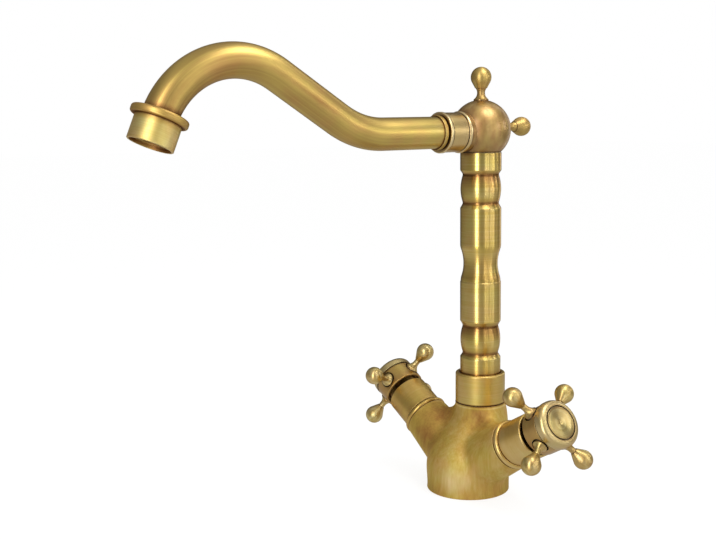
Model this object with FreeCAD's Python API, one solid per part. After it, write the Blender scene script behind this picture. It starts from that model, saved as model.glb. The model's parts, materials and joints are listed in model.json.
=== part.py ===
import FreeCAD, Part
import math
import os

# Two-handle deck faucet with a turned column, a ball elbow and a swan-neck spout.
# Millimetres. Origin at the centre of the foot's underside, +Z up, the spout over -Y,
# the cold handle over +X and the hot handle over -X.

# Clearances shared by every fit
running_clearance = 0.05
seated_clearance = 0.03
moving_gap = 0.35
running_film = 0.1
cut_overrun = 1.0

# Casting: foot, shoulders, neck and horns
base_radius = 25.0
base_edge_round = 0.6
foot_height = 17.0
shoulder_height = 27.0
column_setback = 10.0
neck_top = 52.45
neck_step = 0.16
neck_flare = 1.5
horn_tilt = 30.0
horn_axis_height = 13.2
horn_root = 6.0
horn_root_radius = 17.6
horn_mouth = 44.4
horn_mouth_radius = 14.3
casting_blend = 9.5
shoulder_share = 0.45
shoulder_fullness_share = 0.72

# Waterways and threads inside the casting
inlet_offset = 12.0
inlet_thread_radius = 4.5
inlet_thread_depth = 11.0
inlet_way_radius = 3.6
stud_offset = 14.0
stud_thread_radius = 3.4
stud_thread_depth = 14.0
mixing_way_radius = 3.5
mixing_chamber_radius = 7.4
mixing_chamber_depth = 8.0
mixing_way_lift = 6.0
mixing_way_share = 0.55
gasket_margin = 2.2
gasket_width = 3.0
gasket_depth = 1.8

# Collar and swivel
collar_overhang = 2.8
collar_height = 18.2
collar_seam = 0.4
collar_edge_round = 1.2
collar_mouth_chamfer = 0.5
collar_wall = 1.8
collar_web = 2.8
retaining_ring_thickness = 1.5
retaining_ring_bite = 0.9
retaining_ring_gap = 4.0
shoulder_land = 1.4
glide_washer_thickness = 1.0
set_screw_radius = 1.65
set_screw_sink = 0.7
set_screw_bite = 2.0
set_screw_drop = 2.4
set_screw_hex = 1.0
set_screw_hex_depth = 1.2
set_screw_heading = 54.0

# Column
column_radius = 12.24
column_bore = 6.5
column_groove_radius = 10.8
column_bead_radius = 12.07
column_waist_radius = 10.25
column_waist_edge_radius = 11.7
column_line_depth = 0.3
column_line_width = 0.4
column_groove_width = 1.0
lower_ring_height = 9.4
ring_chamfer_height = 2.2
lower_bead_height = 15.6
barrel_chamfer_height = 2.6
lower_barrel_height = 23.75
lower_shoulder_height = 2.4
waist_height = 16.8
upper_shoulder_height = 3.0
upper_barrel_height = 21.75
upper_bead_height = 15.8
top_ring_height = 10.3
foot_radius = 9.0
foot_length = 25.0
foot_chamfer = 0.6
head_radius = 9.2
head_length = 8.0
o_ring_thickness = 1.9
arc_drop_share = 0.25
foot_seal_shares = (0.25, 0.7)
head_seal_share = 0.5

# Elbow
elbow_radius = 17.6
elbow_lift = 13.4
elbow_neck_radius = 11.9
elbow_neck_height = 3.2
socket_drop = 1.1
socket_seam = 16.2
socket_bead_radius = 12.2
socket_bead_length = 2.5
socket_line_length = 0.7
socket_line_depth = 0.6
socket_radius = 11.5
socket_length = 10.8
socket_rim_radius = 11.9
socket_rim_length = 1.7
socket_rim_round = 0.4
tube_seat = 14.0
tube_seal_thickness = 1.2
finial_seat_sink = 0.6

# Finials
finial_foot_radius = 4.4
finial_foot_height = 0.8
finial_neck_radius = 2.35
finial_shank_radius = 2.0
finial_shank_length = 6.0
top_finial_ball = 6.1
top_finial_reach = 13.6
rear_finial_ball = 5.8
rear_finial_reach = 15.9
rear_finial_lift = 1.4
finial_line_depth = 0.3
finial_drop_share = 1.05
finial_root_share = 0.57
finial_neck_share = 0.57

# Spout
spout_radius = 9.2
spout_bore = 7.7
spout_run = 73.4
spout_rise_radius = 56.9
spout_rise_angle = 31.9
spout_slope = 43.7
spout_crown_radius = 46.7
spout_drop_angle = 67.0
outlet_stub = 5.5
lock_ring_wall = 0.8
lock_ring_length = 2.0
lock_ring_gap = 1.0

# Outlet
flange_radius = 14.6
flange_thickness = 4.0
flange_lap = 1.1
flange_round = 1.3
flange_solder_gap = 0.2
aerator_radius = 11.85
aerator_round = 0.3
aerator_skirt_wall = 1.1
aerator_skirt_depth = 2.1
aerator_lip_width = 1.2
aerator_lip_height = 1.0
aerator_washer_thickness = 1.5
aerator_washer_width = 1.8
aerator_insert_height = 3.0
aerator_insert_wall = 1.4
aerator_floor = 1.0
aerator_rib = 1.0
aerator_screen_thickness = 0.6
aerator_hole_radius = 0.55
aerator_hole_pitch = 1.8

# Valve seat, discs and bonnet, measured along the horn axis
valve_seat = 24.0
bonnet_thread_radius = 10.25
valve_chamber_radius = 11.6
valve_chamber_start = 26.0
valve_chamber_end = 35.0
seat_seal_thickness = 2.0
seat_seal_bore = 4.6
disc_radius = 7.3
fixed_disc_thickness = 3.0
moving_disc_thickness = 2.6
disc_port_radius = 1.9
disc_port_offset = 4.2
disc_film = 0.02
disc_lug_width = 4.0
disc_slot_depth = 1.2
disc_slot_width = 3.0
skirt_wall = 1.6
skirt_lift = 0.6
spindle_radius = 4.0
spindle_flange_radius = 6.6
spindle_flange_thickness = 2.8
thrust_washer_thickness = 0.95
bonnet_seal_thickness = 0.8
bonnet_seal_width = 0.9
bonnet_hex_flats = 20.0
bonnet_hex_height = 3.2
bonnet_neck_radius = 7.2
bonnet_neck_length = 14.5
spindle_seal_share = 0.4
spindle_clip_thickness = 0.8
spindle_clip_radius = 5.8
spindle_clip_bite = 0.7
spindle_clip_gap = 3.0
spline_count = 20
spline_depth = 0.35

# Sleeve over the bonnet
sleeve_seam = 0.25
sleeve_bead_radius = 14.6
sleeve_bead_length = 3.5
sleeve_line_depth = 0.5
sleeve_line_length = 0.5
sleeve_radius = 13.15
sleeve_wall = 1.3
sleeve_web = 1.6
sleeve_end = 67.9
sleeve_edge_round = 0.5

# Handles, measured along the horn axis and outward from it
hub_gap = 3.1
hub_radius = 13.5
hub_length = 11.2
hub_edge_round = 0.6
hub_line_depth = 0.7
hub_line_length = 0.9
hub_ring_radius = 13.9
hub_ring_length = 2.3
hub_bevel_height = 3.4
hub_face_radius = 10.9
hub_back_wall = 1.3
hub_back_depth = 2.6
cap_radius = 9.3
cap_groove = 0.75
cap_thickness = 2.0
cap_dish = 0.5
cap_dish_radius = 7.2
cap_dimple_radius = 1.5
cap_dimple_depth = 0.4
handle_screw_radius = 1.95
handle_screw_length = 11.0
handle_screw_head_radius = 3.6
handle_screw_head_height = 2.2
handle_screw_slot_width = 0.9
handle_screw_slot_depth = 1.0
screw_floor = 2.4
spoke_count = 4
spoke_setback = 6.5
spoke_reach = 27.5
spoke_ball_radius = 5.6
spoke_neck_radius = 1.9
spoke_neck_reach = 17.6
spoke_plug_radius = 4.1
spoke_plug_floor = 11.2
spoke_plug_land = 2.6
spoke_well_radius = 4.9
spoke_shank_radius = 2.2
spoke_shank_length = 4.0
spoke_drop_share = 1.32
spoke_root_share = 0.41
cold_spoke_phase = 38.4
hot_spoke_phase = 25.0

# Places worked out from the sizes above
collar_radius = column_radius + collar_overhang
neck_radius = collar_radius + neck_step
collar_bottom = neck_top + collar_seam
collar_top = collar_bottom + collar_height
collar_bore = collar_radius - collar_wall
web_underside = collar_top - collar_web
spigot_radius = collar_bore - seated_clearance
retaining_top = web_underside - running_film
retaining_bottom = retaining_top - retaining_ring_thickness
column_shoulder = retaining_bottom - shoulder_land
glide_washer_top = column_shoulder - running_film
spigot_top = glide_washer_top - glide_washer_thickness
column_foot = column_shoulder - foot_length
socket_floor = column_foot - cut_overrun
socket_bore = foot_radius + running_clearance
mixing_floor = socket_floor - mixing_chamber_depth
seal_radius = o_ring_thickness / 2

waist_bottom = (collar_top + lower_ring_height + ring_chamfer_height + lower_bead_height
                + 2 * column_groove_width + barrel_chamfer_height + lower_barrel_height
                + column_line_width + lower_shoulder_height)
column_top = (waist_bottom + waist_height + upper_shoulder_height + upper_barrel_height
              + barrel_chamfer_height + upper_bead_height + 2 * column_groove_width
              + ring_chamfer_height + top_ring_height)
elbow_height = column_top + elbow_lift
socket_height = elbow_height - socket_drop
socket_end = (socket_seam + socket_bead_length + 2 * socket_line_length + socket_length
              + socket_rim_length)

fixed_disc_bottom = valve_seat + seat_seal_thickness
fixed_disc_top = fixed_disc_bottom + fixed_disc_thickness
moving_disc_bottom = fixed_disc_top + disc_film
moving_disc_top = moving_disc_bottom + moving_disc_thickness
spindle_flange_bottom = moving_disc_top
spindle_flange_top = spindle_flange_bottom + spindle_flange_thickness
thrust_washer_bottom = spindle_flange_top + running_film
skirt_ceiling = thrust_washer_bottom + thrust_washer_thickness
skirt_bore = disc_radius + moving_gap
skirt_radius = skirt_bore + skirt_wall
hex_bottom = horn_mouth + bonnet_seal_thickness
hex_top = hex_bottom + bonnet_hex_height
bonnet_end = hex_top + bonnet_neck_length
spindle_clip_bottom = bonnet_end + running_film
spindle_clip_top = spindle_clip_bottom + spindle_clip_thickness
sleeve_start = horn_mouth + sleeve_seam
hub_start = sleeve_end + hub_gap
hub_ring_start = hub_start + hub_length + hub_line_length
hub_face = hub_ring_start + hub_ring_length + hub_bevel_height
cap_floor = hub_face - cap_thickness
screw_seat = cap_floor - handle_screw_head_height - running_film
spindle_end = screw_seat - screw_floor
hub_bore_start = hub_start + hub_back_depth
spoke_plane = hub_start + spoke_setback

SIDES = {"hot": -1, "cold": 1}
X_AXIS = FreeCAD.Vector(1, 0, 0)
Y_AXIS = FreeCAD.Vector(0, 1, 0)
Z_AXIS = FreeCAD.Vector(0, 0, 1)
CENTRE = FreeCAD.Vector(0, 0, 0)
FULL_TURN = 360.0
RIGHT_ANGLE = 90.0


# Shape helpers

def vec(x, y, z):
    return FreeCAD.Vector(x, y, z)


def turned(points):
    """Turn an outline of (radius, height) points about Z; four numbers are an arc's middle and end."""
    edges = []
    last = vec(points[0][0], 0, points[0][1])
    for point in points[1:] + points[:1]:
        end = vec(point[-2], 0, point[-1])
        if len(point) == 4:
            edges.append(Part.Arc(last, vec(point[0], 0, point[1]), end).toShape())
        elif (end - last).Length > 0:
            edges.append(Part.LineSegment(last, end).toShape())
        last = end
    return Part.Face(Part.Wire(edges)).revolve(CENTRE, Z_AXIS, FULL_TURN)


def rod(radius, start, end):
    return Part.makeCylinder(radius, end - start, vec(0, 0, start))


def ring(inner, outer, start, end):
    return turned([(inner, start), (outer, start), (outer, end), (inner, end)])


def seal_ring(middle_radius, height, thickness=o_ring_thickness):
    return Part.makeTorus(middle_radius, thickness / 2, vec(0, 0, height))


def bored_between(start, end, radius):
    return Part.makeCylinder(radius, (end - start).Length, start, end - start)


def block(width, depth, start, end):
    return Part.makeBox(width, depth, end - start, vec(-width / 2, -depth / 2, start))


def hexagon(flats, start, end):
    corner = flats / math.sqrt(3)
    points = [vec(corner * math.cos(k * math.pi / 3), corner * math.sin(k * math.pi / 3), start)
              for k in range(7)]
    return Part.Face(Part.makePolygon(points)).extrude(vec(0, 0, end - start))


def splined(radius, start, end):
    """Rod with fine straight teeth, as on a tap spindle."""
    points = []
    for k in range(2 * spline_count + 1):
        angle = math.pi * k / spline_count
        reach = radius - spline_depth * (k % 2)
        points.append(vec(reach * math.cos(angle), reach * math.sin(angle), start))
    return Part.Face(Part.makePolygon(points)).extrude(vec(0, 0, end - start))


def on_column(shape):
    return shape.translated(vec(0, column_setback, 0))


def on_horn(shape, side):
    """Carry a shape built along Z out to a horn: side 1 is cold, over +X, and -1 is hot."""
    placed = shape.copy()
    placed.rotate(CENTRE, Y_AXIS, side * (RIGHT_ANGLE - horn_tilt))
    placed.translate(vec(0, 0, horn_axis_height))
    return placed


def horn_point(side, along, out):
    """Point in the horns' upright plane: along the axis, and up from it."""
    tilt = math.radians(horn_tilt)
    return vec(side * (along * math.cos(tilt) - out * math.sin(tilt)), 0,
               horn_axis_height + along * math.sin(tilt) + out * math.cos(tilt))


def towards(shape, heading, height):
    """Lay a shape built along Z level, pointing out of the column at a heading from +X."""
    placed = shape.copy()
    placed.rotate(CENTRE, Y_AXIS, RIGHT_ANGLE)
    placed.rotate(CENTRE, Z_AXIS, heading)
    placed.translate(vec(0, column_setback, height))
    return placed


def save(name, shape):
    solids = shape.Solids
    whole = Part.makeCompound(solids) if len(solids) > 1 else solids[0]
    whole.exportStep(os.path.join("parts", name + ".step"))
    print(name, len(solids), "solids", round(whole.Volume, 1), "mm3", whole.isValid())


# Casting

def casting_core():
    """Round foot that draws in and back to the neck, as one smooth shell."""
    shoulder_top = foot_height + shoulder_height
    flare_radius = neck_radius + neck_flare
    middle = foot_height + shoulder_height * shoulder_share
    middle_radius = flare_radius + (base_radius - flare_radius) * shoulder_fullness_share
    middle_setback = column_setback * (1 - shoulder_fullness_share)
    rounds = [(0, base_radius, 0), (foot_height / 2, base_radius, 0), (foot_height, base_radius, 0),
              (middle, middle_radius, middle_setback), (shoulder_top, flare_radius, column_setback),
              (neck_top, neck_radius, column_setback)]
    return Part.makeLoft([Part.Wire(Part.makeCircle(radius, vec(0, setback, height)))
                          for height, radius, setback in rounds], True)


def horn_blend():
    """Blend radius under the horns, kept clear of the foot's eased edge."""
    root = horn_point(1, horn_root, -horn_root_radius)
    mouth = horn_point(1, horn_mouth, -horn_mouth_radius)
    rise = (mouth.z - root.z) / (mouth.x - root.x)
    room = root.z + (base_radius - root.x) * rise - 2 * base_edge_round
    return min(casting_blend, room * math.tan((math.pi / 2 + math.atan(rise)) / 2))


def casting_outside():
    """Core and two tapered horns, blended where they meet, with the foot's edge eased."""
    horns = [on_horn(Part.makeCone(horn_root_radius, horn_mouth_radius, horn_mouth - horn_root,
                                   vec(0, 0, horn_root)), side) for side in SIDES.values()]
    below = Part.makeBox(4 * base_radius, 4 * base_radius, base_radius,
                         vec(-2 * base_radius, -2 * base_radius, -base_radius))
    body = casting_core().multiFuse(horns).cut(below).removeSplitter()
    meetings = []
    for edge in body.Edges:
        kinds = {face.Surface.TypeId for face in body.ancestorsOfType(edge, Part.Face)}
        if kinds == {"Part::GeomCone", "Part::GeomBSplineSurface"}:
            meetings.append(edge)
    body = body.makeFillet(horn_blend(), meetings)
    rim = [edge for edge in body.Edges if edge.BoundBox.ZMax < base_edge_round / 2]
    return body.makeFillet(base_edge_round, rim)


def waterways(side):
    """Inlet thread and way up to the valve seat, valve bore, and the way on to the mixing chamber."""
    tilt = math.radians(horn_tilt)
    inlet_x = side * inlet_offset
    joint_along = inlet_offset / math.cos(tilt)
    joint = horn_point(side, joint_along, 0)
    thread = Part.makeCylinder(inlet_thread_radius, inlet_thread_depth + cut_overrun,
                               vec(inlet_x, 0, -cut_overrun))
    rise = Part.makeCylinder(inlet_way_radius, joint.z, vec(inlet_x, 0, 0))
    elbow_ball = Part.makeSphere(inlet_way_radius, joint)
    seat_way = on_horn(rod(inlet_way_radius, joint_along, valve_seat + cut_overrun), side)
    bore = on_horn(rod(bonnet_thread_radius + seated_clearance, valve_seat, horn_mouth + cut_overrun), side)
    chamber = on_horn(rod(valve_chamber_radius, valve_chamber_start, valve_chamber_end), side)
    chamber_length = valve_chamber_end - valve_chamber_start
    way_start = horn_point(side, valve_chamber_start + chamber_length * mixing_way_share, mixing_way_lift)
    way_end = vec(0, column_setback, socket_floor - mixing_chamber_depth / 2)
    mixing = bored_between(way_start, way_end, mixing_way_radius)
    return [thread, rise, elbow_ball, seat_way, bore, chamber, mixing]


def gasket_ring(depth):
    outer = base_radius - gasket_margin
    return ring(outer - gasket_width, outer, 0, depth)


def body_casting():
    body = casting_outside().fuse(on_column(rod(spigot_radius, neck_top, spigot_top)))
    cuts = [on_column(rod(socket_bore, socket_floor, spigot_top + cut_overrun)),
            on_column(rod(mixing_chamber_radius, mixing_floor, socket_floor + cut_overrun)),
            Part.makeCylinder(stud_thread_radius, stud_thread_depth + cut_overrun,
                              vec(0, -stud_offset, -cut_overrun)),
            gasket_ring(gasket_depth), set_screw_hole()]
    for side in SIDES.values():
        cuts += waterways(side)
    return body.cut(cuts[0].multiFuse(cuts[1:]))


# Swivel collar and what it traps

def set_screw_height():
    return spigot_top - set_screw_drop


def set_screw_hole():
    """Threaded way through the collar's wall, ending in a dimple in the casting's spigot."""
    hole = rod(set_screw_radius + seated_clearance, spigot_radius - set_screw_bite,
               collar_radius + cut_overrun)
    return towards(hole, set_screw_heading, set_screw_height())


def swivel_collar():
    mouth = column_radius + running_clearance
    body = turned([
        (collar_bore, collar_bottom), (collar_radius, collar_bottom),
        (collar_radius, collar_top - collar_edge_round),
        (collar_radius - collar_edge_round * (1 - math.sqrt(0.5)),
         collar_top - collar_edge_round * (1 - math.sqrt(0.5)),
         collar_radius - collar_edge_round, collar_top),
        (mouth + collar_mouth_chamfer, collar_top), (mouth, collar_top - collar_mouth_chamfer),
        (mouth, web_underside), (collar_bore, web_underside)])
    return on_column(body).cut(set_screw_hole())


def collar_set_screw():
    end = collar_radius - set_screw_sink
    socket = hexagon(2 * set_screw_hex, end - set_screw_hex_depth, end + cut_overrun)
    screw = rod(set_screw_radius, spigot_radius - set_screw_bite, end).cut(socket)
    return towards(screw, set_screw_heading, set_screw_height())


def column_glide_washer():
    return on_column(ring(foot_radius + moving_gap, column_radius - moving_gap, spigot_top,
                          glide_washer_top))


def column_retaining_ring():
    inner = column_radius - retaining_ring_bite
    body = ring(inner, collar_bore - moving_gap, retaining_bottom, retaining_top)
    gap = Part.makeBox(retaining_ring_gap, collar_radius, 2 * retaining_ring_thickness,
                       vec(-retaining_ring_gap / 2, 0, retaining_bottom - retaining_ring_thickness / 2))
    return on_column(body.cut(gap))


# Column

def foot_seal_heights():
    return [column_foot + foot_length * share for share in foot_seal_shares]


def seal_middle(bore):
    return bore - seated_clearance - seal_radius


def groove_for_seal(bore, height):
    floor = seal_middle(bore) - seal_radius - seated_clearance
    half = seal_radius + running_film
    return ring(floor, bore + cut_overrun, height - half, height + half)


def head_seal_height():
    return column_top + head_length * head_seal_share


def head_bore():
    return head_radius + running_clearance


def shoulder_arc(wide, narrow, start, end, from_wide):
    """Round a turned shoulder between a barrel and its narrower neighbour."""
    middle = wide - (wide - narrow) * arc_drop_share
    return (middle, (start + end) / 2, narrow if from_wide else wide, end)


def riser_column():
    """Turned tube: plain foot and head, with rings, beads, barrels and a waist between them."""
    outline = [(column_bore, column_foot), (foot_radius - foot_chamfer, column_foot),
               (foot_radius, column_foot + foot_chamfer), (foot_radius, column_shoulder),
               (column_radius, column_shoulder)]
    groove = column_radius - retaining_ring_bite - seated_clearance
    low = retaining_bottom - seated_clearance
    high = retaining_top + seated_clearance
    outline += [(column_radius, low), (groove, low), (groove, high), (column_radius, high)]

    z = collar_top + lower_ring_height
    outline.append((column_radius, z))
    z += ring_chamfer_height
    outline.append((column_groove_radius, z))
    z += column_groove_width
    outline.append((column_groove_radius, z))
    outline.append((column_bead_radius, z + lower_bead_height / 2,
                    column_groove_radius, z + lower_bead_height))
    z += lower_bead_height + column_groove_width
    outline.append((column_groove_radius, z))
    z += barrel_chamfer_height
    outline.append((column_radius, z))
    z += lower_barrel_height
    outline.append((column_radius, z))
    z += column_line_width
    ledge = column_radius - column_line_depth
    outline.append((ledge, z))
    outline.append(shoulder_arc(ledge, column_waist_edge_radius, z, z + lower_shoulder_height, True))
    z += lower_shoulder_height
    outline.append((column_waist_radius, z + waist_height / 2, column_waist_edge_radius, z + waist_height))
    z += waist_height
    outline.append(shoulder_arc(column_radius, column_waist_edge_radius, z, z + upper_shoulder_height,
                                False))
    z += upper_shoulder_height + upper_barrel_height
    outline.append((column_radius, z))
    z += barrel_chamfer_height
    outline.append((column_groove_radius, z))
    z += column_groove_width
    outline.append((column_groove_radius, z))
    outline.append((column_bead_radius, z + upper_bead_height / 2,
                    column_groove_radius, z + upper_bead_height))
    z += upper_bead_height + column_groove_width
    outline.append((column_groove_radius, z))
    z += ring_chamfer_height
    outline.append((column_radius, z))
    outline += [(column_radius, column_top), (head_radius, column_top),
                (head_radius, column_top + head_length - foot_chamfer),
                (head_radius - foot_chamfer, column_top + head_length),
                (column_bore, column_top + head_length)]
    column = turned(outline)
    for height in foot_seal_heights():
        column = column.cut(groove_for_seal(socket_bore, height))
    return on_column(column.cut(groove_for_seal(head_bore(), head_seal_height())))


def column_o_rings():
    middle = seal_middle(socket_bore)
    return on_column(Part.makeCompound([seal_ring(middle, height) for height in foot_seal_heights()]))


def elbow_o_ring():
    return on_column(seal_ring(seal_middle(head_bore()), head_seal_height()))


# Elbow, with its level axis out over -Y

def level(shape):
    """Lay a shape built along Z out along -Y at the socket's height."""
    return towards(shape, -RIGHT_ANGLE, socket_height)


def to_rear(shape):
    """Lay a shape built along Z out along +Y, where the rear finial stands."""
    return towards(shape, RIGHT_ANGLE, elbow_height + rear_finial_lift)


def tube_seal_place():
    return (tube_seat + socket_end) / 2


def tube_seal_middle():
    return spout_radius + seated_clearance + tube_seal_thickness / 2


def tube_seal_groove():
    half = tube_seal_thickness / 2 + running_film
    floor = tube_seal_middle() + tube_seal_thickness / 2 + seated_clearance
    return ring(spout_bore, floor, tube_seal_place() - half, tube_seal_place() + half)


def elbow():
    ball = on_column(Part.makeSphere(elbow_radius, vec(0, 0, elbow_height)))
    neck = on_column(rod(elbow_neck_radius, column_top, column_top + elbow_neck_height))
    z = socket_seam
    outline = [(0, 0), (socket_radius, 0), (socket_radius, z)]
    outline.append((socket_bead_radius, z + socket_bead_length / 2, socket_radius, z + socket_bead_length))
    z += socket_bead_length
    low = socket_radius - socket_line_depth
    outline += [(low, z), (low, z + socket_line_length), (socket_radius, z + socket_line_length)]
    z += socket_line_length + socket_length
    outline += [(socket_radius, z), (low, z), (low, z + socket_line_length),
                (socket_rim_radius, z + socket_line_length),
                (socket_rim_radius, socket_end - socket_rim_round),
                (socket_rim_radius - socket_rim_round, socket_end), (0, socket_end)]
    socket = level(turned(outline))
    under = on_column(rod(2 * elbow_radius, column_top - elbow_radius, column_top))
    body = ball.fuse(neck).fuse(socket).cut(under)

    seat = elbow_radius - finial_seat_sink
    top_seat = on_column(rod(elbow_radius, elbow_height + seat, elbow_height + elbow_radius + cut_overrun))
    top_hole = on_column(rod(finial_shank_radius + seated_clearance,
                             elbow_height + seat - finial_shank_length - cut_overrun,
                             elbow_height + elbow_radius))
    rear_seat = to_rear(rod(elbow_radius, seat, elbow_radius + cut_overrun))
    rear_hole = to_rear(rod(finial_shank_radius + seated_clearance,
                            seat - finial_shank_length - cut_overrun, elbow_radius))
    head_socket = on_column(rod(head_bore(), column_top - cut_overrun,
                                column_top + head_length + running_film))
    up_way = on_column(rod(column_bore, column_top, socket_height))
    turn_way = on_column(Part.makeSphere(column_bore, vec(0, 0, socket_height)))
    out_way = level(rod(column_bore, 0, tube_seat + cut_overrun))
    tube_socket = level(rod(spout_radius + seated_clearance, tube_seat, socket_end + cut_overrun))
    seal_groove = level(tube_seal_groove())
    for cut in (top_seat, top_hole, rear_seat, rear_hole, head_socket, up_way, turn_way, out_way,
                tube_socket, seal_groove):
        body = body.cut(cut)
    return body


def drop_outline(ball_radius, reach, root_radius, length):
    """A cone from its root that runs smoothly into a ball, up to the tip."""
    lean = math.acos(ball_radius / math.hypot(root_radius, length)) - math.atan2(length, root_radius)
    half = (math.pi / 2 + lean) / 2
    return [(root_radius, reach - length),
            (ball_radius * math.cos(lean), reach + ball_radius * math.sin(lean)),
            (ball_radius * math.cos(half), reach + ball_radius * math.sin(half), 0, reach + ball_radius)]


def finial(ball_radius, reach):
    """Turned knob: threaded shank, waisted neck and a drop-shaped end with a fine line below it."""
    root_radius = ball_radius * finial_root_share
    length = ball_radius * finial_drop_share
    neck = (reach - length) * finial_neck_share
    return turned([
        (0, -finial_shank_length), (finial_shank_radius, -finial_shank_length), (finial_shank_radius, 0),
        (finial_foot_radius, 0), (finial_foot_radius, finial_foot_height),
        (finial_neck_radius, neck, root_radius - finial_line_depth, reach - length),
        *drop_outline(ball_radius, reach, root_radius, length)])


def top_finial():
    seat = elbow_height + elbow_radius - finial_seat_sink
    return on_column(finial(top_finial_ball, top_finial_reach).translated(vec(0, 0, seat)))


def rear_finial():
    seat = elbow_radius - finial_seat_sink
    knob = finial(rear_finial_ball, rear_finial_reach).translated(vec(0, 0, seat))
    return to_rear(knob)


# Spout

def spout_place(along, up):
    return vec(0, column_setback - along, socket_height + up)


def spout_bends():
    """Points and headings of the spout's line, in its own upright plane."""
    rise = math.radians(spout_rise_angle)
    drop = math.radians(spout_drop_angle)
    lift = (spout_run + spout_rise_radius * math.sin(rise), spout_rise_radius * (1 - math.cos(rise)))
    crown = (lift[0] + spout_slope * math.cos(rise), lift[1] + spout_slope * math.sin(rise))
    hub = (crown[0] + spout_crown_radius * math.sin(rise), crown[1] - spout_crown_radius * math.cos(rise))
    end = (hub[0] + spout_crown_radius * math.sin(drop), hub[1] + spout_crown_radius * math.cos(drop))
    tip = (end[0] + outlet_stub * math.cos(drop), end[1] - outlet_stub * math.sin(drop))
    half = rise / 2
    lift_middle = (spout_run + spout_rise_radius * math.sin(half), spout_rise_radius * (1 - math.cos(half)))
    crown_top = (hub[0], hub[1] + spout_crown_radius)
    return lift_middle, lift, crown, crown_top, end, tip


def spout_line(start):
    lift_middle, lift, crown, crown_top, end, tip = [spout_place(*p) for p in spout_bends()]
    root = spout_place(start, 0)
    bend = spout_place(spout_run, 0)
    edges = [Part.LineSegment(root, bend), Part.Arc(bend, lift_middle, lift), Part.LineSegment(lift, crown),
             Part.Arc(crown, crown_top, end), Part.LineSegment(end, tip)]
    return Part.Wire([edge.toShape() for edge in edges])


def tube_along(radius, start):
    line = spout_line(start)
    section = Part.Wire(Part.makeCircle(radius, spout_place(start, 0), Y_AXIS))
    return line.makePipeShell([section], True, False)


def spout_tube():
    return tube_along(spout_radius, tube_seat).cut(tube_along(spout_bore, tube_seat))


def tube_o_ring():
    return level(seal_ring(tube_seal_middle(), tube_seal_place(), tube_seal_thickness))


def spout_lock_ring():
    start = socket_end + lock_ring_gap
    inner = spout_radius + seated_clearance
    return level(ring(inner, inner + lock_ring_wall, start, start + lock_ring_length))


def at_outlet(shape):
    """Carry a shape built along Z to the end of the spout's bend, with Z along the water's way out."""
    end = spout_place(*spout_bends()[4])
    placed = shape.copy()
    placed.rotate(CENTRE, X_AXIS, RIGHT_ANGLE + spout_drop_angle)
    placed.translate(end)
    return placed


def outlet_flange():
    inner = spout_radius + flange_solder_gap
    start = flange_lap - flange_thickness
    edge = flange_round * (1 - math.sqrt(0.5))
    return at_outlet(turned([
        (inner, start), (flange_radius - flange_round, start),
        (flange_radius - edge, start + edge, flange_radius, start + flange_round),
        (flange_radius, flange_lap - flange_round),
        (flange_radius - edge, flange_lap - edge, flange_radius - flange_round, flange_lap),
        (inner, flange_lap)]))


def aerator_stack():
    """Heights of the washer, insert, screen and lip below the tube's end."""
    washer = outlet_stub + running_film
    insert = washer + aerator_washer_thickness
    screen = insert + aerator_insert_height
    lip = screen + aerator_screen_thickness
    return washer, insert, screen, lip


def aerator_housing():
    """Sleeve over the tube's end, with a lip under the screen and a thin skirt round the mouth."""
    bore = spout_radius + seated_clearance
    lip = aerator_stack()[3]
    lip_end = lip + aerator_lip_height
    end = lip_end + aerator_skirt_depth
    skirt = aerator_radius - aerator_skirt_wall
    return at_outlet(turned([
        (bore, flange_lap), (aerator_radius, flange_lap), (aerator_radius, end - aerator_round),
        (aerator_radius - aerator_round, end), (skirt, end), (skirt, lip_end),
        (bore - aerator_lip_width, lip_end), (bore - aerator_lip_width, lip), (bore, lip)]))


def aerator_washer():
    washer, insert = aerator_stack()[:2]
    return at_outlet(ring(spout_radius - aerator_washer_width, spout_radius - running_clearance,
                          washer, insert))


def aerator_insert():
    insert, screen = aerator_stack()[1:3]
    outer = spout_radius - running_clearance
    inside = rod(outer - aerator_insert_wall, insert + aerator_floor, screen + cut_overrun)
    cup = rod(outer, insert, screen).cut(inside)
    rib = block(2 * outer - aerator_insert_wall, aerator_rib, insert + aerator_floor / 2, screen)
    cross = rib.copy()
    cross.rotate(CENTRE, Z_AXIS, RIGHT_ANGLE)
    return at_outlet(cup.multiFuse([rib, cross]).removeSplitter())


def aerator_screen():
    screen, lip = aerator_stack()[2:]
    outer = spout_radius - running_clearance
    plate = rod(outer, screen, lip)
    reach = outer - aerator_lip_width - aerator_hole_radius
    rows = int(reach / aerator_hole_pitch)
    holes = []
    for row in range(-rows, rows + 1):
        for column in range(-rows, rows + 1):
            x = aerator_hole_pitch * row
            y = aerator_hole_pitch * column
            if math.hypot(x, y) < reach:
                holes.append(Part.makeCylinder(aerator_hole_radius, lip - screen + 2 * cut_overrun,
                                               vec(x, y, screen - cut_overrun)))
    return at_outlet(plate.cut(Part.makeCompound(holes)))


# Valve on each horn

def seat_seal():
    return ring(seat_seal_bore, disc_radius, valve_seat, fixed_disc_bottom)


def disc_ports(start, end, turned_by):
    ports = []
    for k in range(2):
        port = Part.makeCylinder(disc_port_radius, end - start + 2 * cut_overrun,
                                 vec(disc_port_offset, 0, start - cut_overrun))
        port.rotate(CENTRE, Z_AXIS, turned_by + k * FULL_TURN / 2)
        ports.append(port)
    return Part.makeCompound(ports)


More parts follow.
